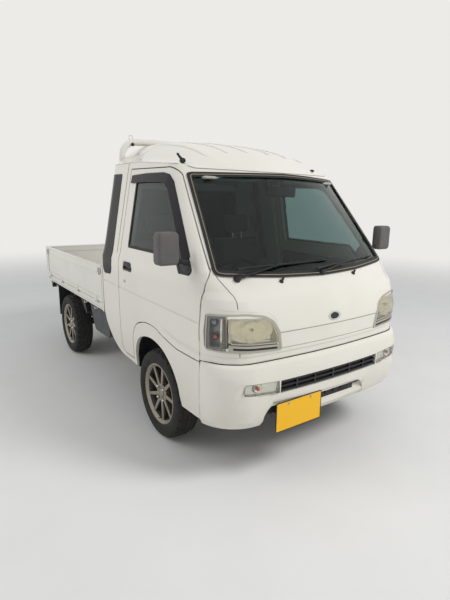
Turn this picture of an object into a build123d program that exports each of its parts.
"""Small cab-over truck with a raised roof and a three-way dropside bed.

Frame: millimetres, +Z up, ground at z = 0, front towards -Y, the truck's right
side at -X, y = 0 half way along the overall length.
"""

from build123d import *
import math
import os

# Main sizes
LENGTH = 3395.0
WIDTH = 1475.0
WHEELBASE = 1900.0
FRONT_OVERHANG = 757.5
TRACK = 1300.0
HALF = WIDTH / 2
FRONT = -LENGTH / 2
REAR = LENGTH / 2
AXLE_F = FRONT + FRONT_OVERHANG
AXLE_R = AXLE_F + WHEELBASE

# Running gaps
DOOR_GAP = 6.0
GATE_GAP = 5.5
PIN_GAP = 0.3

# Wheels
TYRE_R = 277.0
TYRE_W = 155.0
RIM_R = 190.0
BEAD_R = 178.0
SPOKES = 9
SPOKE_W = 26.0
SPOKE_END = 20.0
HUB_R = 62.0
SPOKE_TURN = 10.0
NUT_CIRCLE_R = 50.0
NUT_R = 10.0
NUTS = 4

# Cab
WALL = 50.0
PANEL = 22.0
DOOR_T = 36.0
FRAME_IN = DOOR_T + 6.0
FRAME_OUT = 78.0
FRAME_LAP = 40.0
CAB_REAR = -55.0
CAB_REAR_R = 55.0
FLOOR_T = 25.0
FOOT_Z = 425.0
PLATFORM_Z = 640.0
HEEL_Y = -1245.0
ROCKER_IN = 655.0
ROCKER_T = 26.0
ROOF_T = 26.0
GLASS_IN = 4.0
GLASS_T = 6.0
BUMPER_TOP = 695.0
BUMPER_T = 34.0
SHUT_Y = -1442.0
DOOR_REAR = -405.0
DOOR_NOSE = (650.0, -1380.0)
LAMP_T = 48.0
BELT_Z = 1093.0
ARCH_GROW = 34.0
ARCH_LIP = 22.0
ROOF_OVER = 4.0
SWAGE_DEPTH = 2.5
SEAM_DEPTH = 4.0

# Bed
BED_FRONT = -40.0
BED_REAR = REAR
BED_HALF = 731.0
HINGE_OUT = 9.0
FLOOR_TOP = 668.0
FLOOR_SKIN = 20.0
GATE_T = 23.0
GATE_TOP = 957.0
GATE_LIFT = 6.0
LEDGE_DROP = 3.0
RAIL_BOTTOM = 610.0
HINGE_R = 5.0

# Chassis
RAIL_X = 330.0
RAIL_W = 60.0
RAIL_H = 80.0
RAIL_FRONT_TOP = 390.0
RAIL_REAR_TOP = RAIL_BOTTOM

# Steering
KING_LOW = (610.0, 190.0)
KING_TOP = (500.0, 620.0)
STRUT_R = 20.0
BALL_R = 20.0
WHEEL_X = -350.0
WHEEL_Y = -1110.0
WHEEL_Z = 1015.0
WHEEL_R = 180.0
WHEEL_TUBE = 13.0
COLUMN_TILT = 55.0

# Cab sections: height, front y on the centre line, half width,
# half width of the front bow, sag of the bow.
CAB_SECTIONS = [
    (300.0, -1640.0, 712.0, 520.0, 33.0),
    (378.0, -1655.0, 722.0, 520.0, 33.0),
    (560.0, -1668.0, 734.0, 520.0, 33.0),
    (724.0, -1672.0, 737.0, 520.0, 33.0),
    (816.0, -1675.0, 737.5, 530.0, 32.0),
    (881.0, -1662.0, 737.5, 520.0, 33.0),
    (965.0, -1632.0, 736.5, 540.0, 36.0),
    (1006.0, -1598.0, 735.5, 560.0, 50.0),
    (1050.0, -1566.0, 733.0, 615.0, 72.0),
    (1100.0, -1533.0, 717.0, 662.0, 96.0),
    (1660.0, -1155.0, 612.6, 550.5, 150.0),
    (1900.0, -992.0, 567.0, 500.0, 160.0),
]

# Bumper sections, same columns.
BUMPER_SECTIONS = [
    (308.0, -1662.0, 722.0, 520.0, 30.0),
    (340.0, -1684.0, 731.0, 530.0, 29.0),
    (437.0, -1695.0, 737.5, 540.0, 28.0),
    (590.0, -1697.5, 737.5, 540.0, 28.0),
    (640.0, -1690.0, 735.0, 530.0, 29.0),
    (BUMPER_TOP, -1672.5, 735.0, 520.0, 33.0),
]

# Roof crown: y, height on the centre line, radius across.
ROOF_SECTIONS = [
    (-1300.0, 1538.0, 1850.0),
    (-1195.0, 1614.0, 1900.0),
    (-1050.0, 1703.0, 1950.0),
    (-880.0, 1769.0, 2400.0),
    (-600.0, 1826.0, 3200.0),
    (-300.0, 1850.0, 3800.0),
    (20.0, 1854.0, 3800.0),
]

# Roof seam seen from the side: y, z.
ROOF_SEAM = [(-1300.0, 1606.0), (-1060.0, 1622.0), (-1005.0, 1645.0), (-482.0, 1686.0), (0.0, 1690.0)]

# Helpers


def box(x0, x1, y0, y1, z0, z1):
    """Box between two corners."""
    return Pos((x0 + x1) / 2, (y0 + y1) / 2, (z0 + z1) / 2) * Box(x1 - x0, y1 - y0, z1 - z0)


def rod(a, b, r):
    """Round bar from point a to point b."""
    a, b = Vector(*a), Vector(*b)
    return Solid.make_cylinder(r, (b - a).length, Plane(origin=a, z_dir=b - a))


def outline(plane, start, *legs):
    """Closed face on a plane; a leg is an end point, or a (through, end) pair for an arc."""
    here, edges = start, []
    for leg in legs:
        if isinstance(leg[0], tuple):
            edges.append(Edge.make_three_point_arc(*[plane.from_local_coords(p) for p in (here, leg[0], leg[1])]))
            here = leg[1]
        else:
            edges.append(Edge.make_line(plane.from_local_coords(here), plane.from_local_coords(leg)))
            here = leg
    if math.dist(here, start) > 1e-6:
        edges.append(Edge.make_line(plane.from_local_coords(here), plane.from_local_coords(start)))
    return Face(Wire(edges))


def side_prism(face, x0, x1):
    """Side-view face carried across from x0 to x1."""
    return Pos(x0, 0, 0) * extrude(face, amount=x1 - x0, dir=(1, 0, 0))


def front_prism(face, y0, y1):
    """Front-view face carried along from y0 to y1."""
    return Pos(0, y0, 0) * extrude(face, amount=y1 - y0, dir=(0, 1, 0))


def mirrored(shape):
    """The same shape on the other side of the truck."""
    return mirror(shape, about=Plane.YZ)


def pair(shape):
    """Left and right copies in one node."""
    return Compound(children=[solid for half in (shape, mirrored(shape)) for solid in half.solids()])


def plan_face(z, front, half, bow, sag, inset, rear, rear_r):
    """Plan section: bowed front, tangent corner arcs, straight sides, rounded rear corners."""
    front, half, bow, rear = front + inset, half - inset, bow - inset * 0.6, rear - inset
    radius = (bow * bow + sag * sag) / (2 * sag)
    sine = bow / radius
    cosine = math.sqrt(1 - sine * sine)
    corner = (half - bow) / (1 - sine)
    centre = (half - corner, front + sag + corner * cosine)
    turn = math.asin(sine)
    mid_angle = (math.pi / 2 - turn) / 2
    mid = (centre[0] + corner * math.cos(mid_angle), centre[1] - corner * math.sin(mid_angle))
    back_r = max(rear_r - inset, 5.0)
    k = back_r * (1 - math.sqrt(0.5))
    a, b = (bow, front + sag), (half, centre[1])
    c, d, e = (half, rear - back_r), (half - k, rear - k), (half - back_r, rear)

    def flip(p):
        return (-p[0], p[1])

    plane = Plane.XY.offset(z)
    return outline(
        plane, flip(a), ((0.0, front), a), (mid, b), c, (d, e), flip(e),
        (flip(d), flip(c)), flip(b), (flip(mid), flip(a)),
    )


SKINS = {}


def cab_skin(inset):
    """Solid inside the cab's skin, set in by a distance."""
    if inset not in SKINS:
        faces = [plan_face(z, f, h, b, s, inset, CAB_REAR, CAB_REAR_R) for z, f, h, b, s in CAB_SECTIONS]
        SKINS[inset] = loft(faces, ruled=True)
    return SKINS[inset]


def bumper_skin(inset):
    """Solid inside the bumper's skin, set in by a distance."""
    faces = [plan_face(z, f, h, b, s, inset, -1200.0, 60.0) for z, f, h, b, s in BUMPER_SECTIONS]
    return loft(faces, ruled=True)


def roof_crown(drop):
    """Solid under the roof's crown, lowered by a distance."""
    half = HALF + 60
    faces = []
    for y, z, r in ROOF_SECTIONS:
        edge = z - r + math.sqrt(r * r - half * half)
        plane = Plane(origin=(0, y, 0), x_dir=(1, 0, 0), z_dir=(0, -1, 0))
        faces.append(
            outline(plane, (-half, 1300.0), (half, 1300.0), (half, edge - drop), ((0.0, z - drop), (-half, edge - drop)))
        )
    return loft(faces)


YZ = Plane.YZ
XZ = Plane(origin=(0, 0, 0), x_dir=(1, 0, 0), z_dir=(0, -1, 0))

parts = {}

# Cab outlines
door_outline = outline(
    YZ,
    (DOOR_REAR, 500.0),
    (DOOR_REAR, 1640.0),
    (-900.0, 1626.0),
    ((-985.0, 1614.0), (-1040.0, 1580.0)),
    (-1226.0, 1352.0),
    (-1420.0, 1112.0),
    ((-1436.0, 1088.0), (SHUT_Y, 1050.0)),
    (SHUT_Y, 650.0),
    (-1214.0, 650.0),
    ((-1090.0, 672.0), (-985.0, 700.0)),
    ((-850.0, 712.0), (-730.0, 690.0)),
    ((-640.0, 630.0), (-606.0, 540.0)),
    (-600.0, 410.0),
    (-480.0, 410.0),
    ((-430.0, 433.0), (DOOR_REAR, 500.0)),
)
WAY_BOTTOM = PLATFORM_Z + FLOOR_T + 20
way_outline = outline(
    YZ,
    (DOOR_REAR - FRAME_LAP, WAY_BOTTOM),
    (DOOR_REAR - FRAME_LAP, 1602.0),
    (-890.0, 1588.0),
    ((-955.0, 1575.0), (-1005.0, 1545.0)),
    (-1190.0, 1330.0),
    (-1375.0, 1100.0),
    ((-1392.0, 1070.0), (SHUT_Y + FRAME_LAP, 1040.0)),
    (SHUT_Y + FRAME_LAP, WAY_BOTTOM),
)


def arch_profile(grow):
    """Front wheel arch in side view, lengthened fore and aft for the well behind its lip."""
    return outline(
        YZ,
        (-640.0 + grow, 250.0),
        (-642.0 + grow, 400.0),
        ((-664.0 + grow, 530.0), (-755.0 + grow, 600.0)),
        ((-900.0, 624.0), (-1045.0 - grow, 592.0)),
        ((-1150.0 - grow, 514.0), (-1210.0 - grow, 410.0)),
        (-1244.0 - grow, 250.0),
    )


arch_outline = arch_profile(0.0)
well_outline = arch_profile(ARCH_GROW)
# Swage along the side: y, z of its middle line.
SWAGE = [(-118.0, 870.0), (SHUT_Y, 850.0)]
swage_outline = outline(
    YZ,
    (SWAGE[0][0], SWAGE[0][1] - 4),
    (SWAGE[1][0], SWAGE[1][1] - 4),
    (SWAGE[1][0], SWAGE[1][1] + 4),
    (SWAGE[0][0], SWAGE[0][1] + 4),
)
# Handle recess in the door's skin: y and z of its corners.
HANDLE = (-624.0, -478.0, 991.0, 1060.0)
LOCK_YZ = (-511.0, 921.0)
under_outline = outline(
    YZ,
    (-1720.0, 250.0),
    (-1720.0, 400.0),
    (-1475.0, 400.0),
    (-1455.0, 318.0),
    (-1180.0, 312.0),
    (-700.0, 360.0),
    (-600.0, 371.0),
    (-482.0, 378.0),
    ((-270.0, 432.0), (-108.0, RAIL_REAR_TOP + 6.0)),
    (-40.0, RAIL_REAR_TOP + 30.0),
    (0.0, 250.0),
)
window_outline = outline(
    YZ,
    (-515.0, 1150.0),
    (-505.0, 1590.0),
    ((-508.0, 1598.0), (-516.0, 1601.0)),
    (-880.0, 1588.0),
    ((-960.0, 1572.0), (-1008.0, 1535.0)),
    (-1340.0, 1112.0),
    ((-1346.0, 1082.0), (-1322.0, 1070.0)),
    (-1225.0, 1068.0),
    (-1150.0, 1138.0),
    (-524.0, 1141.0),
    ((-518.0, 1144.0), (-515.0, 1150.0)),
)
quarter_outline = outline(
    YZ,
    (-138.0, 965.0),
    (-134.0, 1590.0),
    ((-146.0, 1612.0), (-170.0, 1618.0)),
    (-222.0, 1616.0),
    ((-246.0, 1608.0), (-252.0, 1580.0)),
    (-267.0, 985.0),
    ((-258.0, 955.0), (-232.0, 945.0)),
    (-170.0, 945.0),
    ((-147.0, 950.0), (-138.0, 965.0)),
)
windscreen_outline = outline(
    XZ,
    (-648.0, 1124.0),
    ((-648.0, 1098.0), (-622.0, 1086.0)),
    ((0.0, 1056.0), (622.0, 1086.0)),
    ((648.0, 1098.0), (648.0, 1124.0)),
    (572.0, 1574.0),
    ((562.0, 1594.0), (540.0, 1600.0)),
    ((0.0, 1604.0), (-540.0, 1600.0)),
    ((-562.0, 1594.0), (-572.0, 1574.0)),
    (-648.0, 1124.0),
)
back_outline = outline(
    XZ,
    (-480.0, 1160.0),
    ((-471.0, 1139.0), (-450.0, 1130.0)),
    (450.0, 1130.0),
    ((471.0, 1139.0), (480.0, 1160.0)),
    (470.0, 1500.0),
    ((461.0, 1521.0), (440.0, 1530.0)),
    (-440.0, 1530.0),
    ((-461.0, 1521.0), (-470.0, 1500.0)),
    (-480.0, 1160.0),
)
# Front panel seam: half widths at heights.
SEAM = [(600.0, 600.0), (600.0, 990.0), (640.0, 1070.0), (655.0, 1130.0)]
SEAM_GAP = 4.0
lamp_outline = outline(
    XZ,
    (-392.0, 718.0),
    (-399.0, 820.0),
    ((-413.0, 878.0), (-462.0, 906.0)),
    (-560.0, 918.0),
    (-760.0, 932.0),
    (-760.0, 742.0),
    (-392.0, 718.0),
)
turn_outline = outline(
    XZ,
    (-390.0, 484.0),
    (-396.0, 552.0),
    (-590.0, 562.0),
    ((-630.0, 550.0), (-634.0, 512.0)),
    ((-626.0, 504.0), (-600.0, 502.0)),
    (-390.0, 484.0),
)
grille_outline = outline(XZ, (-386.0, 480.0), (-386.0, 550.0), (386.0, 550.0), (386.0, 480.0), (-386.0, 480.0))
intake_outline = outline(
    XZ,
    (-478.0, 300.0),
    ((-474.0, 372.0), (-440.0, 420.0)),
    (225.0, 420.0),
    ((268.0, 388.0), (276.0, 300.0)),
    (-478.0, 300.0),
)

# Cab shell
SEAM_Y = (-352.0, -342.0)
seam_strip = box(-800, 800, SEAM_Y[0], SEAM_Y[1], BELT_Z, 2000)
side_seam = seam_strip - cab_skin(SEAM_DEPTH)
swage_cut = side_prism(swage_outline, 400, 800) - cab_skin(SWAGE_DEPTH)
roof_side = outline(YZ, *ROOF_SEAM, (0.0, 1950.0), (-1300.0, 1950.0))
above_roof = side_prism(roof_side, -800, 800)
wall_ring = cab_skin(0.0) - cab_skin(WALL)
under_cut = side_prism(under_outline, -800, 800)

floor_profile = outline(
    YZ,
    (-1640.0, FOOT_Z),
    (HEEL_Y - FLOOR_T, FOOT_Z),
    (HEEL_Y - FLOOR_T, PLATFORM_Z),
    (CAB_REAR - 20, PLATFORM_Z),
    (CAB_REAR - 20, PLATFORM_Z + FLOOR_T),
    (HEEL_Y - 2 * FLOOR_T, PLATFORM_Z + FLOOR_T),
    (HEEL_Y - 2 * FLOOR_T, FOOT_Z + FLOOR_T),
    (-1640.0, FOOT_Z + FLOOR_T),
)
floor = side_prism(floor_profile, -800, 800) & cab_skin(WALL / 2)
rocker = box(ROCKER_IN, ROCKER_IN + ROCKER_T, HEEL_Y - FLOOR_T, -90, 385, PLATFORM_Z + 5) - under_cut

door_zone = offset(door_outline, amount=DOOR_GAP, kind=Kind.INTERSECTION)
door_hole = side_prism(door_zone, 400, 800) - cab_skin(FRAME_IN)
frame_zone = box(400, 800, SHUT_Y - DOOR_GAP, DOOR_REAR + FRAME_LAP, 380, 1700)
door_frame = (cab_skin(FRAME_IN) - cab_skin(FRAME_OUT)) & frame_zone
arch_hole = side_prism(arch_outline, 420, 800) + (side_prism(well_outline, 420, 800) & cab_skin(ARCH_LIP))
quarter_hole = side_prism(quarter_outline, 450, 800)
windscreen_hole = front_prism(windscreen_outline, -1800, -900)
back_hole = front_prism(back_outline, -160, 100)

upper_ring = wall_ring - above_roof - under_cut
nose_zone = box(-800, 800, -1800, SHUT_Y - DOOR_GAP, 200, 1130)
nose_layer = (upper_ring - cab_skin(PANEL)) & nose_zone
door_frame = door_frame - above_roof - under_cut
left_half = box(0, 800, -1800, 100, 200, 1950)
half_cab = ((upper_ring - nose_layer) & left_half) + (floor & left_half) + rocker + door_frame
way_hole = side_prism(way_outline, 400, 800)
HINGE_X = 731.0
HINGE_Y = SHUT_Y - DOOR_GAP / 2
HINGE_SWEEP = 92.0
hinge_pocket = rod((HINGE_X, HINGE_Y, 980.0), (HINGE_X, HINGE_Y, 1185.0), HINGE_SWEEP) & cab_skin(FRAME_IN - 1)
hinge_pocket = hinge_pocket & box(400, 800, SHUT_Y - DOOR_GAP, -1300, 900, 1300)
lamp_hole = front_prism(lamp_outline, -1800, -1440) - box(-800, 0, -1475, -1400, 600, 1000)
for hole in (
    door_hole, way_hole, arch_hole, quarter_hole, windscreen_hole, back_hole, side_seam, swage_cut, hinge_pocket,
    mirrored(lamp_hole),
):
    half_cab = half_cab - hole
parts["cab_shell"] = half_cab + mirrored(half_cab)

# Nose panels
nose = nose_layer - box(-800, 800, -1800, -1000, 200, BUMPER_TOP) - windscreen_hole
seam_points = [(-x, z) for x, z in SEAM]
seam_face = outline(XZ, (0.0, SEAM[0][1]), *seam_points, (0.0, SEAM[-1][1]))
middle = front_prism(seam_face, -1800, -1000)
middle = middle + mirrored(middle)
BONNET_Z = 799.0
bonnet_line = box(-420, 420, -1800, -1500, BONNET_Z - 2, BONNET_Z + 2) - cab_skin(5.0)
bonnet_foot = box(-420, 420, -1800, -1500, 713.0, 717.0) - cab_skin(3.0)
parts["front_panel"] = (nose & middle) - lamp_hole - mirrored(lamp_hole) - bonnet_line - bonnet_foot
wide_seam = offset(seam_face, amount=SEAM_GAP, kind=Kind.INTERSECTION)
corner = (nose & box(-800, -300, -1800, -1400, BUMPER_TOP, 1130)) - front_prism(wide_seam, -1800, -1000) - lamp_hole
parts["corner_panels"] = pair(corner)
LAMP_SPLIT_X = 604.0
lamp = (cab_skin(1.0) - cab_skin(LAMP_T)) & lamp_hole
lamp_lines = box(-LAMP_SPLIT_X - 3, -LAMP_SPLIT_X + 3, -1800, -1400, 700, 940)
lamp_lines = lamp_lines + box(-LAMP_SPLIT_X, -400, -1800, -1400, 762, 768)
lamp = lamp - (lamp_lines - cab_skin(5.0))
parts["headlamps"] = pair(lamp)

# Doors
door_layer = cab_skin(0.0) - cab_skin(DOOR_T)
door = (door_layer & side_prism(door_outline, 400, 800)) - side_prism(window_outline, 400, 800)
wide_windscreen = offset(windscreen_outline, amount=DOOR_GAP, kind=Kind.INTERSECTION)
door = door - front_prism(wide_windscreen, -1800, -900)
door = door - box(400, DOOR_NOSE[0], SHUT_Y - 60, DOOR_NOSE[1], 600, 1120)
SWING_R = math.hypot(HINGE_X - 612.0, DOOR_REAR - HINGE_Y)
door = door & rod((HINGE_X, HINGE_Y, 300.0), (HINGE_X, HINGE_Y, 1800.0), SWING_R)
SCALLOP_R = 80.0
SCALLOP_X = HALF + SCALLOP_R - 8.0
# Line of the scallop over the wheel arch: x, y, z.
SCALLOP = [
    (SCALLOP_X, SHUT_Y - 20, 674.0),
    (SCALLOP_X, -1214.0, 674.0),
    (SCALLOP_X, -1090.0, 697.0),
    (SCALLOP_X + 14.0, -940.0, 742.0),
]
for start, end in zip(SCALLOP, SCALLOP[1:]):
    door = door - rod(start, end, SCALLOP_R)
    door = door - Pos(*end) * Sphere(SCALLOP_R)
door = door - swage_cut
handle_face = outline(
    YZ, (HANDLE[0], HANDLE[2]), (HANDLE[1], HANDLE[2]), (HANDLE[1], HANDLE[3]), (HANDLE[0], HANDLE[3])
)
handle_cup = fillet(side_prism(handle_face, 600, 800).edges().filter_by(Axis.X), 14.0)
grip_zone = box(600, 800, HANDLE[0] - 2, HANDLE[1] + 2, HANDLE[2] + 30, HANDLE[3] + 2)
door = (door - (handle_cup - cab_skin(18.0))) + ((cab_skin(1.5) - cab_skin(8.0)) & handle_cup & grip_zone)
lock = rod((HALF - 20, *LOCK_YZ), (HALF + 1.5, *LOCK_YZ), 9.0)
door = door + lock
glass_ring = cab_skin(GLASS_IN) - cab_skin(GLASS_IN + GLASS_T)
glass = glass_ring & side_prism(window_outline, 400, 800)
HINGE_ROWS = [(700.0, 760.0), (930.0, 990.0)]
for low, high in HINGE_ROWS:
    door = door + rod((HINGE_X, HINGE_Y, low), (HINGE_X, HINGE_Y, high), DOOR_GAP / 2 - PIN_GAP)
    door = door + box(HINGE_X - 8, HINGE_X, HINGE_Y, HINGE_Y + 12, low, high)
mirror_arm = rod((690.0, -1300.0, 1125.0), (800.0, -1318.0, 1150.0), 14.0)
MIRROR = (765.0, 920.0, 1120.0, 1298.0)
mirror_box = box(MIRROR[0], MIRROR[1], -1352.0, -1290.0, MIRROR[2], MIRROR[3])
mirror_box = fillet(mirror_box.edges().filter_by(Axis.Y), 28.0)
mirror_box = fillet(mirror_box.faces().sort_by(Axis.Y)[0].edges(), 18.0)
mirror_base = outline(YZ, (-1365.0, 1050.0), (-1215.0, 1050.0), (-1212.0, 1112.0), (-1290.0, 1205.0), (-1365.0, 1205.0))
base_plate = (cab_skin(0.0) - cab_skin(GLASS_IN)) & side_prism(window_outline, 400, 800)
mirror_part = ((mirror_box + mirror_arm) - cab_skin(0.0)) + (base_plate & side_prism(mirror_base, 400, 800))
for name, sign in (("left", 1), ("right", -1)):
    turn = (lambda s: s) if sign == 1 else mirrored
    parts["door_" + name] = turn(door)
    parts["door_glass_" + name] = turn(glass)
    parts["door_mirror_" + name] = turn(mirror_part)

# Glass
parts["windscreen"] = glass_ring & front_prism(windscreen_outline, -1800, -900)
back_glass = box(-520, 520, CAB_REAR - GLASS_IN - GLASS_T, CAB_REAR - GLASS_IN, 1000, 1700) & back_hole
quarter_glass = glass_ring & quarter_hole
parts["rear_windows"] = Compound(
    children=[*back_glass.solids(), *quarter_glass.solids(), *mirrored(quarter_glass).solids()]
)

# Roof
roof = (cab_skin(-ROOF_OVER) & roof_crown(0.0)) - (cab_skin(ROOF_T) & roof_crown(ROOF_T))
RIB_HALF, RIB_RISE = 7.0, 3.5
RIB_Y = (-960.0, SEAM_Y[0] - 40)
proud = roof_crown(-RIB_RISE) - roof_crown(2.0)
for x in (-390.0, -240.0, -90.0, 90.0, 240.0, 390.0):
    roof = roof + (proud & box(x - RIB_HALF, x + RIB_HALF, RIB_Y[0], RIB_Y[1], 1500, 2000))
roof = roof - (seam_strip - (cab_skin(SEAM_DEPTH - ROOF_OVER) & roof_crown(SEAM_DEPTH)))
parts["roof_panel"] = roof & above_roof

# Bumper
nose_cut = box(-800, 800, -1800, SHUT_Y - DOOR_GAP, 200, BUMPER_TOP)
bumper = (bumper_skin(0.0) - bumper_skin(BUMPER_T)) & nose_cut
bumper = bumper - cab_skin(PANEL - 2)
turn_hole = front_prism(turn_outline, -1800, -1500)
grille_hole = front_prism(grille_outline, -1800, -1500)
intake_hole = front_prism(intake_outline, -1800, -1500)
bumper = bumper - turn_hole - mirrored(turn_hole) - grille_hole - intake_hole
RAMP_TOP = 392.0
ramp_face = outline(YZ, (FRONT - 5, 306.0), (FRONT + 90, 306.0), (FRONT + 90, RAMP_TOP), (FRONT + 45, RAMP_TOP))
ramp = side_prism(ramp_face, -150, 290) & intake_hole & (bumper_skin(2.0) - bumper_skin(BUMPER_T))
parts["front_bumper"] = bumper + ramp
lens_ring = bumper_skin(2.0) - bumper_skin(BUMPER_T - 4)
parts["turn_lamps"] = pair(lens_ring & turn_hole)
SLAT_H = 8.0
grille_ring = bumper_skin(8.0) - bumper_skin(BUMPER_T - 4)
grille_back = (bumper_skin(BUMPER_T - 12) - bumper_skin(BUMPER_T - 4)) & grille_hole
slats = Part()
for row in range(3):
    z = 486.0 + row * 25.0
    slats = slats + (grille_ring & box(-386, 386, -1800, -1500, z, z + SLAT_H))
for column in (-270.0, -140.0, 0.0, 140.0, 270.0):
    slats = slats + (grille_ring & box(column - 5, column + 5, -1800, -1500, 482, 548))
intake_back = (bumper_skin(BUMPER_T - 12) - bumper_skin(BUMPER_T - 4)) & intake_hole
intake_back = intake_back & box(-500, 300, -1800, -1500, RAMP_TOP + 1, 430)
intake_bars = (bumper_skin(10.0) - bumper_skin(BUMPER_T - 10)) & intake_hole
for column in (-40.0, 25.0, 90.0, 155.0):
    intake_back = intake_back + (intake_bars & box(column - 4, column + 4, -1800, -1500, RAMP_TOP + 1, 425))
parts["front_grille"] = Compound(children=[*(slats + grille_back).solids(), *intake_back.solids()])
PLATE = (-424.0, -94.0, 270.0, 435.0)
PLATE_Y = FRONT + 0.5
plate = box(PLATE[0], PLATE[1], PLATE_Y, PLATE_Y + 3, PLATE[2], PLATE[3])
bracket = box(-330, -190, PLATE_Y + 2, -1640, 330, 400) - bumper_skin(BUMPER_T - 12)
plate = plate + bracket
parts["front_plate"] = plate

# Interior
dash_profile = outline(
    YZ,
    (-1620.0, 900.0),
    (-1330.0, 880.0),
    (-1310.0, 1000.0),
    ((-1330.0, 1045.0), (-1400.0, 1050.0)),
    (-1620.0, 1040.0),
)
dash = (side_prism(dash_profile, -640, 640) & cab_skin(FRAME_OUT + 0.5)) + (
    side_prism(dash_profile, -430, 430) & cab_skin(WALL + 0.5)
)
column_dir = Vector(0, math.cos(math.radians(COLUMN_TILT)), math.sin(math.radians(COLUMN_TILT)))
wheel_centre = Vector(WHEEL_X, WHEEL_Y, WHEEL_Z)
column_end = wheel_centre - column_dir * 40
column_foot = wheel_centre - column_dir * 300
dash = dash + rod(tuple(column_foot), tuple(column_end), 28.0)
dash = dash + box(WHEEL_X - 30, WHEEL_X + 30, -1340, WHEEL_Y - 80, 885, 925)
parts["dashboard"] = dash
wheel_plane = Plane(origin=wheel_centre, x_dir=(1, 0, 0), z_dir=column_dir)
steering = Solid.make_cylinder(
    45.0, 40.0 - PIN_GAP, Plane(origin=column_end + column_dir * PIN_GAP, z_dir=column_dir)
)
for angle in (0, 180, 270):
    arm = Pos(WHEEL_R / 2, 0, -8) * Box(WHEEL_R, 26.0, 9.0)
    steering = steering + wheel_plane * (Rot(0, 0, angle) * arm)
steering = steering + wheel_plane * Torus(WHEEL_R, WHEEL_TUBE)
parts["steering_wheel"] = steering

seat_profile = outline(
    YZ,
    (-910.0, PLATFORM_Z + FLOOR_T),
    (-930.0, 760.0),
    ((-915.0, 805.0), (-870.0, 815.0)),
    (-455.0, 790.0),
    (-340.0, 1180.0),
    ((-325.0, 1330.0), (-290.0, 1350.0)),
    ((-225.0, 1340.0), (-215.0, 1290.0)),
    (-290.0, 1000.0),
    (-330.0, PLATFORM_Z + FLOOR_T),
)
seat = side_prism(seat_profile, 110.0, 580.0)
seat = seat - box(100, 225, -600, -100, 1170, 1400) - box(465, 590, -600, -100, 1170, 1400)
parts["seats"] = pair(seat)

# Wipers
wiper_a = (rod((-560.0, -1490.0, 1082.0), (-20.0, -1556.0, 1086.0), 7.0)) - cab_skin(0.0)
wiper_b = (rod((60.0, -1556.0, 1086.0), (580.0, -1484.0, 1082.0), 7.0)) - cab_skin(0.0)
parts["wipers"] = Compound(children=[*wiper_a.solids(), *wiper_b.solids()])

# Chassis
rail_profile = outline(
    YZ,
    (-1570.0, RAIL_FRONT_TOP),
    (-700.0, RAIL_FRONT_TOP),
    (-380.0, RAIL_REAR_TOP),
    (1660.0, RAIL_REAR_TOP),
    (1660.0, RAIL_REAR_TOP - RAIL_H),
    (-360.0, RAIL_REAR_TOP - RAIL_H),
    (-680.0, RAIL_FRONT_TOP - RAIL_H),
    (-1570.0, RAIL_FRONT_TOP - RAIL_H),
)
rail = side_prism(rail_profile, RAIL_X - RAIL_W / 2, RAIL_X + RAIL_W / 2)
chassis = rail + mirrored(rail)
# Cross members: y, width along y, top z, depth.
CROSS = [
    (-1545.0, 50.0, RAIL_FRONT_TOP, 70.0),
    (-720.0, 60.0, RAIL_FRONT_TOP - 20, 50.0),
    (-200.0, 60.0, RAIL_REAR_TOP, 60.0),
    (520.0, 60.0, RAIL_REAR_TOP, 60.0),
    (1180.0, 60.0, RAIL_REAR_TOP, 60.0),
    (1610.0, 60.0, RAIL_REAR_TOP, 60.0),
]
for y, wide, top, deep in CROSS:
    chassis = chassis + box(-RAIL_X, RAIL_X, y - wide / 2, y + wide / 2, top - deep, top)
for y in (-1500.0, -1300.0):
    mount = rod((RAIL_X, y, RAIL_FRONT_TOP - 10), (RAIL_X, y, FOOT_Z), 22.0)
    chassis = chassis + mount + mirrored(mount)
mount = rod((RAIL_X, -200.0, RAIL_REAR_TOP - 10), (RAIL_X, -200.0, PLATFORM_Z), 22.0)
chassis = chassis + mount + mirrored(mount)
bumper_arm = box(RAIL_X - 25, RAIL_X + 25, -1700, -1560, 330, 380) & bumper_skin(BUMPER_T + PIN_GAP)
chassis = chassis + bumper_arm + mirrored(bumper_arm)
parts["chassis_frame"] = chassis

parts["engine_block"] = box(-220, 220, -960.0, -640.0, 370.0, 610.0) + box(-220, 220, -640, -400, 400, 600)

# Front axle
king_low = Vector(KING_LOW[0], AXLE_F, KING_LOW[1])
king_top = Vector(KING_TOP[0], AXLE_F, KING_TOP[1])
king = (king_top - king_low).normalized()
strut_foot = king_low + king * 190
strut = rod(tuple(strut_foot + king * (60 + PIN_GAP)), tuple(king_top), STRUT_R)
strut = strut + rod(tuple(king_top - Vector(0, 0, 6)), (KING_TOP[0], AXLE_F, PLATFORM_Z), 55.0)
arm = rod((280.0, AXLE_F, 210.0), (KING_LOW[0] - 30, AXLE_F, 175.0), 16.0)
arm = arm + rod((280.0, AXLE_F + 190, 230.0), (KING_LOW[0] - 40, AXLE_F, 178.0), 12.0)
ball_seat = Solid.make_cylinder(BALL_R, 24.0, Plane(origin=king_low - king * (24.0 + PIN_GAP), z_dir=king))
arm = arm + ball_seat
cross = box(-345, 345, AXLE_F - 45, AXLE_F + 45, 190, RAIL_FRONT_TOP - RAIL_H)
cross = cross + box(-300, 300, AXLE_F + 150, AXLE_F + 220, 210, 260)
cross = cross + box(200, 300, AXLE_F, AXLE_F + 200, 215, 250) + box(-300, -200, AXLE_F, AXLE_F + 200, 215, 250)
axle_front = cross + arm + mirrored(arm)
parts["front_suspension"] = Compound(children=[*axle_front.solids(), *strut.solids(), *mirrored(strut).solids()])

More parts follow.
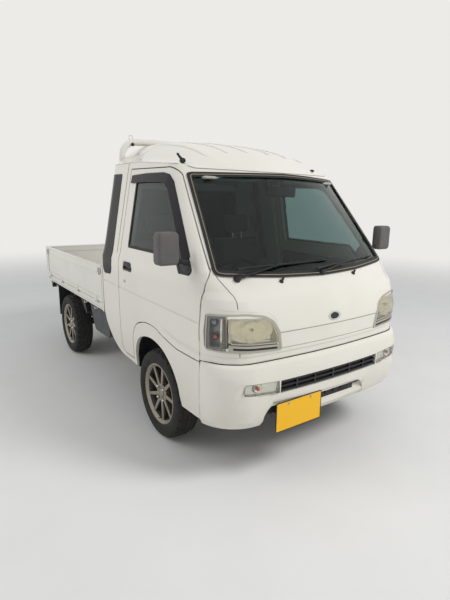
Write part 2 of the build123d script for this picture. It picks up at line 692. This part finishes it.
HUB_FACE = TRACK / 2 + 8
knuckle = Solid.make_cylinder(22.0, 250.0 - PIN_GAP, Plane(origin=king_low, z_dir=king))
knuckle = knuckle + rod((king_low.X - 20, AXLE_F, TYRE_R), (HUB_FACE - 40, AXLE_F, TYRE_R), 30.0)
knuckle = knuckle + rod((HUB_FACE - 45, AXLE_F, TYRE_R), (HUB_FACE - PIN_GAP, AXLE_F, TYRE_R), 52.0)
for name, sign in (("left", 1), ("right", -1)):
    parts["knuckle_" + name] = knuckle if sign == 1 else mirrored(knuckle)

# Rear axle
rear_axle = rod((-HUB_FACE + PIN_GAP, AXLE_R, TYRE_R), (HUB_FACE - PIN_GAP, AXLE_R, TYRE_R), 34.0)
rear_axle = rear_axle + rod((0, AXLE_R - 90, TYRE_R), (0, AXLE_R + 90, TYRE_R), 95.0)
SPRING_X = 440.0
spring_profile = outline(
    YZ,
    (AXLE_R - 480, 420.0),
    ((AXLE_R, 318.0), (AXLE_R + 480, 420.0)),
    (AXLE_R + 480, 400.0),
    ((AXLE_R + 10, 290.0), (AXLE_R - 480, 400.0)),
    (AXLE_R - 480, 420.0),
)
spring = side_prism(spring_profile, SPRING_X - 28, SPRING_X + 28)
for y in (AXLE_R - 480, AXLE_R + 480):
    spring = spring + rod((RAIL_X + RAIL_W / 2, y, 410.0), (SPRING_X + 32, y, 410.0), 16.0)
    spring = spring + box(RAIL_X + RAIL_W / 2, RAIL_X + RAIL_W / 2 + 16, y - 20, y + 20, 400, RAIL_REAR_TOP - 20)
rear_axle = rear_axle + spring + mirrored(spring)
parts["rear_axle"] = rear_axle

# Wheels


def spun(points):
    """Ring turned about the X axis from (x, radius) points."""
    plane = Plane(origin=(0, 0, 0), x_dir=(1, 0, 0), z_dir=(0, -1, 0))
    face = outline(plane, points[0], *points[1:])
    return revolve(face, axis=Axis.X, revolution_arc=360)


half_w = TYRE_W / 2
RIM_W = TYRE_W - 20
rim_half = RIM_W / 2
LIP = 5.0
# Outer half of the tyre's section: x from the middle, radius.
TYRE_SECTION = [
    (rim_half - LIP, BEAD_R + 2),
    (rim_half - LIP, RIM_R),
    (half_w, RIM_R + 32),
    (half_w - 9, TYRE_R - 18),
    (half_w - 28, TYRE_R),
]
tyre = spun([(-x, r) for x, r in TYRE_SECTION] + TYRE_SECTION[::-1])
rim = spun([
    (-rim_half, BEAD_R - 8), (-rim_half, RIM_R), (-rim_half + LIP, RIM_R), (-rim_half + LIP, BEAD_R + 2),
    (rim_half - LIP, BEAD_R + 2), (rim_half - LIP, RIM_R), (rim_half, RIM_R), (rim_half, BEAD_R - 8),
])
DISC_X = rim_half - 22
hub = rod((8, 0, 0), (DISC_X, 0, 0), HUB_R)
spoke_face = outline(
    YZ,
    (-SPOKE_W / 2, HUB_R - 12),
    (SPOKE_W / 2, HUB_R - 12),
    (SPOKE_END / 2, BEAD_R - 2),
    (-SPOKE_END / 2, BEAD_R - 2),
)
spoke = side_prism(spoke_face, DISC_X - 14, DISC_X + 4)
for index in range(SPOKES):
    hub = hub + Rot(index * 360 / SPOKES + SPOKE_TURN, 0, 0) * spoke
cap_hole = rod((DISC_X - 6, 0, 0), (DISC_X + 1, 0, 0), 28.0)
hub = hub - cap_hole
for index in range(NUTS):
    angle = math.radians(45 + index * 360 / NUTS)
    hub = hub + rod(
        (DISC_X - 4, NUT_CIRCLE_R * math.cos(angle), NUT_CIRCLE_R * math.sin(angle)),
        (DISC_X + 10, NUT_CIRCLE_R * math.cos(angle), NUT_CIRCLE_R * math.sin(angle)), NUT_R,
    )
rim = rim + hub
for end, y in (("front", AXLE_F), ("rear", AXLE_R)):
    for name, sign in (("left", 1), ("right", -1)):
        for piece, shape in (("rim", rim), ("tyre", tyre)):
            placed = Pos(TRACK / 2, y, TYRE_R) * shape
            parts[f"{piece}_{end}_{name}"] = placed if sign == 1 else mirrored(placed)

# Bed
GATE_OUT = BED_HALF - HINGE_OUT
GATE_IN = GATE_OUT - GATE_T
TAIL_OUT = BED_REAR - HINGE_OUT
TAIL_IN = TAIL_OUT - GATE_T
DECK_HALF = GATE_OUT - 8
BARREL_Z = FLOOR_TOP + HINGE_R + PIN_GAP
LEAF_HALF, LUG_HALF = 10.0, 30.0
LEDGE_TOP = FLOOR_TOP - LEDGE_DROP
deck = box(-DECK_HALF, DECK_HALF, BED_FRONT, TAIL_OUT - 8, FLOOR_TOP - FLOOR_SKIN, LEDGE_TOP)
deck = deck + box(-GATE_IN + 2, GATE_IN - 2, BED_FRONT + 26, TAIL_IN - 2, FLOOR_TOP - FLOOR_SKIN, FLOOR_TOP)
side_rail = box(DECK_HALF - 22, DECK_HALF, BED_FRONT, TAIL_OUT - 8, RAIL_BOTTOM, LEDGE_TOP)
side_rail = side_rail - box(DECK_HALF - 6, BED_HALF, BED_FRONT + 30, BED_REAR - 40, RAIL_BOTTOM + 10, FLOOR_TOP - 14)
deck = deck + side_rail + mirrored(side_rail)
deck = deck + box(-DECK_HALF, DECK_HALF, TAIL_OUT - 30, TAIL_OUT - 8, RAIL_BOTTOM, LEDGE_TOP)
deck = deck + box(-DECK_HALF, DECK_HALF, BED_FRONT, BED_FRONT + 24, RAIL_BOTTOM, LEDGE_TOP)
for y in (60.0, 330.0, 560.0, 1350.0, 1560.0):
    deck = deck + box(-DECK_HALF + 15, DECK_HALF - 15, y - 20, y + 20, RAIL_REAR_TOP, FLOOR_TOP - 5)
deck = deck + box(-GATE_IN, GATE_IN, BED_FRONT, BED_FRONT + 22, FLOOR_TOP - 5, GATE_TOP)
post = box(GATE_IN - 4, GATE_OUT, BED_FRONT, BED_FRONT + 24, RAIL_BOTTOM, GATE_TOP)
deck = deck + post + mirrored(post)
GATE_HINGES = (120.0, 620.0, 1120.0, 1540.0)
TAIL_HINGES = (-540.0, -190.0, 190.0, 540.0)
gate = box(GATE_IN, GATE_OUT, BED_FRONT + 24 + GATE_GAP, TAIL_IN - GATE_GAP, FLOOR_TOP + GATE_LIFT, GATE_TOP)
PANEL_Z = (704.0, 884.0)
PRESS_OUT, PRESS_IN = 6.0, 5.0
gate = gate - box(GATE_OUT - PRESS_OUT, BED_HALF, BED_FRONT + 70, TAIL_IN - 50, *PANEL_Z)
gate = gate - box(GATE_IN - 5, GATE_IN + PRESS_IN, BED_FRONT + 70, TAIL_IN - 50, PANEL_Z[0] + 15, PANEL_Z[1] + 15)
LATCH_Z = (902.0, 926.0)
for latch_y in (BED_FRONT + 36, TAIL_IN - 100):
    gate = gate + box(GATE_OUT - 2, GATE_OUT + 6, latch_y, latch_y + 64, *LATCH_Z)
    gate = gate + rod((GATE_OUT, latch_y + 32, LATCH_Z[0] - 12), (GATE_OUT, latch_y + 32, LATCH_Z[1] + 8), 5.0)
tail = box(-GATE_OUT, GATE_OUT, TAIL_IN, TAIL_OUT, FLOOR_TOP + GATE_LIFT, GATE_TOP)
tail = tail - box(-GATE_OUT + 60, GATE_OUT - 60, TAIL_OUT - PRESS_OUT, BED_REAR, *PANEL_Z)
tail = tail - box(-GATE_IN + 40, GATE_IN - 40, TAIL_IN - 5, TAIL_IN + PRESS_IN, PANEL_Z[0] + 15, PANEL_Z[1] + 15)
AXIS_X, AXIS_Y = BED_HALF - HINGE_R, BED_REAR - HINGE_R
LEAF_TOP = FLOOR_TOP + 32
for y in GATE_HINGES:
    gate = gate + rod((AXIS_X, y - LUG_HALF, BARREL_Z), (AXIS_X, y + LUG_HALF, BARREL_Z), HINGE_R)
    gate = gate + box(GATE_OUT - 8, AXIS_X, y - LEAF_HALF, y + LEAF_HALF, BARREL_Z, LEAF_TOP)
    for side in (-1, 1):
        y0, y1 = sorted((y + side * (LEAF_HALF + 4), y + side * LUG_HALF))
        lug = box(DECK_HALF - 7, AXIS_X + 2, y0, y1, FLOOR_TOP - 13, FLOOR_TOP)
        deck = deck + lug + mirrored(lug)
for x in TAIL_HINGES:
    tail = tail + rod((x - LUG_HALF, AXIS_Y, BARREL_Z), (x + LUG_HALF, AXIS_Y, BARREL_Z), HINGE_R)
    tail = tail + box(x - LEAF_HALF, x + LEAF_HALF, TAIL_OUT - 8, AXIS_Y, BARREL_Z, LEAF_TOP)
    for side in (-1, 1):
        x0, x1 = sorted((x + side * (LEAF_HALF + 4), x + side * LUG_HALF))
        deck = deck + box(x0, x1, TAIL_OUT - 9, AXIS_Y + 2, FLOOR_TOP - 13, FLOOR_TOP)
HOOK_R, HOOK_DROP, HOOK_OUT = 4.0, 20.0, 20.0
for y in (180.0, AXLE_R - 520, AXLE_R + 360, 1560.0):
    top = (DECK_HALF - 14, y, RAIL_BOTTOM + 4)
    low = (DECK_HALF - 14, y, RAIL_BOTTOM - HOOK_DROP)
    out = (DECK_HALF - 14 + HOOK_OUT, y, RAIL_BOTTOM - HOOK_DROP)
    tip = (out[0], y, RAIL_BOTTOM - 6)
    hook = rod(top, low, HOOK_R) + rod(low, out, HOOK_R) + rod(out, tip, HOOK_R)
    hook = hook + Pos(*low) * Sphere(HOOK_R) + Pos(*out) * Sphere(HOOK_R)
    deck = deck + hook + mirrored(hook)
parts["bed_deck"] = deck
parts["side_gate_left"] = gate
parts["side_gate_right"] = mirrored(gate)
parts["tailgate"] = tail

# Guard frame
GUARD_TUBE = 24.0
GUARD_X = 566.0
GUARD_TOP = 1890.0 - GUARD_TUBE
GUARD_Y = BED_FRONT + 24.0
guard_r = 110.0
k = guard_r * (1 - math.sqrt(0.5))
guard_path = Wire([
    Edge.make_line((-GUARD_X, GUARD_Y, GATE_TOP), (-GUARD_X, GUARD_Y, GUARD_TOP - guard_r)),
    Edge.make_three_point_arc(
        (-GUARD_X, GUARD_Y, GUARD_TOP - guard_r), (-GUARD_X + k, GUARD_Y, GUARD_TOP - k), (-GUARD_X + guard_r, GUARD_Y, GUARD_TOP)
    ),
    Edge.make_line((-GUARD_X + guard_r, GUARD_Y, GUARD_TOP), (GUARD_X - guard_r, GUARD_Y, GUARD_TOP)),
    Edge.make_three_point_arc(
        (GUARD_X - guard_r, GUARD_Y, GUARD_TOP), (GUARD_X - k, GUARD_Y, GUARD_TOP - k), (GUARD_X, GUARD_Y, GUARD_TOP - guard_r)
    ),
    Edge.make_line((GUARD_X, GUARD_Y, GUARD_TOP - guard_r), (GUARD_X, GUARD_Y, GATE_TOP)),
])
guard = sweep(Plane(origin=(-GUARD_X, GUARD_Y, GATE_TOP), z_dir=(0, 0, 1)) * Circle(GUARD_TUBE), path=guard_path)
for z in (1130.0, 1540.0):
    guard = guard + rod((-GUARD_X, GUARD_Y, z), (GUARD_X, GUARD_Y, z), 14.0)
for x in (-300.0, -100.0, 100.0, 300.0):
    guard = guard + rod((x, GUARD_Y, 1130.0), (x, GUARD_Y, 1540.0), 10.0)
for x in (-489.0, 489.0):
    loop = Solid.make_torus(16.0, 4.0, Plane(origin=(x, GUARD_Y, GUARD_TOP + GUARD_TUBE + 8), z_dir=(0, 1, 0)))
    guard = guard + loop
parts["guard_frame"] = guard

# Under the bed
tank_profile = outline(
    YZ,
    (-60.0, RAIL_BOTTOM),
    (-60.0, 440.0),
    ((-45.0, 400.0), (-5.0, 388.0)),
    (232.0, 388.0),
    ((280.0, 398.0), (310.0, 440.0)),
    (395.0, RAIL_BOTTOM),
)
tank = side_prism(tank_profile, -690.0, -390.0)
parts["fuel_tank"] = tank
guard_profile = outline(
    YZ,
    (AXLE_R - 330, RAIL_BOTTOM),
    (AXLE_R - 440, RAIL_BOTTOM),
    (AXLE_R - 500, 500.0),
    (AXLE_R - 490, 480.0),
    (AXLE_R - 400, 560.0),
    (AXLE_R - 330, 600.0),
)
mud = side_prism(guard_profile, 560.0, 700.0)
flap = box(560.0, 716.0, AXLE_R + 330, AXLE_R + 338, 300.0, RAIL_BOTTOM)
parts["rear_mudguards"] = Compound(children=[*mud.solids(), *mirrored(mud).solids(), *flap.solids(), *mirrored(flap).solids()])
LAMP_X = (510.0, 690.0)
LAMP_Z = (520.0, RAIL_BOTTOM)
LAMP_REAR = TAIL_OUT - 8
tail_lamp = box(*LAMP_X, BED_REAR - 50, LAMP_REAR, *LAMP_Z)
tail_lamp = fillet(tail_lamp.edges().filter_by(Axis.Y).sort_by(Axis.Z)[:2], 10.0)
for share in (1 / 3, 2 / 3):
    x = LAMP_X[0] + share * (LAMP_X[1] - LAMP_X[0])
    tail_lamp = tail_lamp - box(x - 1.5, x + 1.5, LAMP_REAR - 4, LAMP_REAR + 5, *LAMP_Z)
parts["tail_lamps"] = pair(tail_lamp)
EXHAUST_X, EXHAUST_Z = 190.0, 440.0
muffler = rod((EXHAUST_X, 560.0, EXHAUST_Z), (EXHAUST_X, 60.0, EXHAUST_Z), 75.0)
pipe = rod((EXHAUST_X, 80.0, EXHAUST_Z), (EXHAUST_X, -400.0, EXHAUST_Z), 22.0)
exhaust = muffler + pipe
exhaust = exhaust + box(EXHAUST_X - 10, EXHAUST_X + 10, 310, 350, EXHAUST_Z, RAIL_BOTTOM)
parts["exhaust"] = exhaust
SPARE_Y, SPARE_Z = 1370.0, 425.0
SPARE_SECTION = [point for index, point in enumerate(TYRE_SECTION) if index != 3]
spare_tyre = spun([(-x, r) for x, r in SPARE_SECTION] + SPARE_SECTION[::-1])
spare = Pos(0, SPARE_Y, SPARE_Z) * (Rot(0, 90, 0) * spare_tyre)
dish = Solid.make_cylinder(BEAD_R + 4, 30.0, Plane(origin=(0, SPARE_Y, SPARE_Z - 15), z_dir=(0, 0, 1)))
hanger = box(-20, 20, SPARE_Y - 20, SPARE_Y + 20, SPARE_Z + 5, RAIL_REAR_TOP)
parts["spare_wheel"] = spare + dish + hanger

# Write
os.makedirs("parts", exist_ok=True)
for name, shape in parts.items():
    solids = shape.solids()
    export_step(Compound(children=list(solids)) if len(solids) != 1 else solids[0], f"parts/{name}.step")
    print(name, len(solids), round(sum(s.volume for s in solids)))
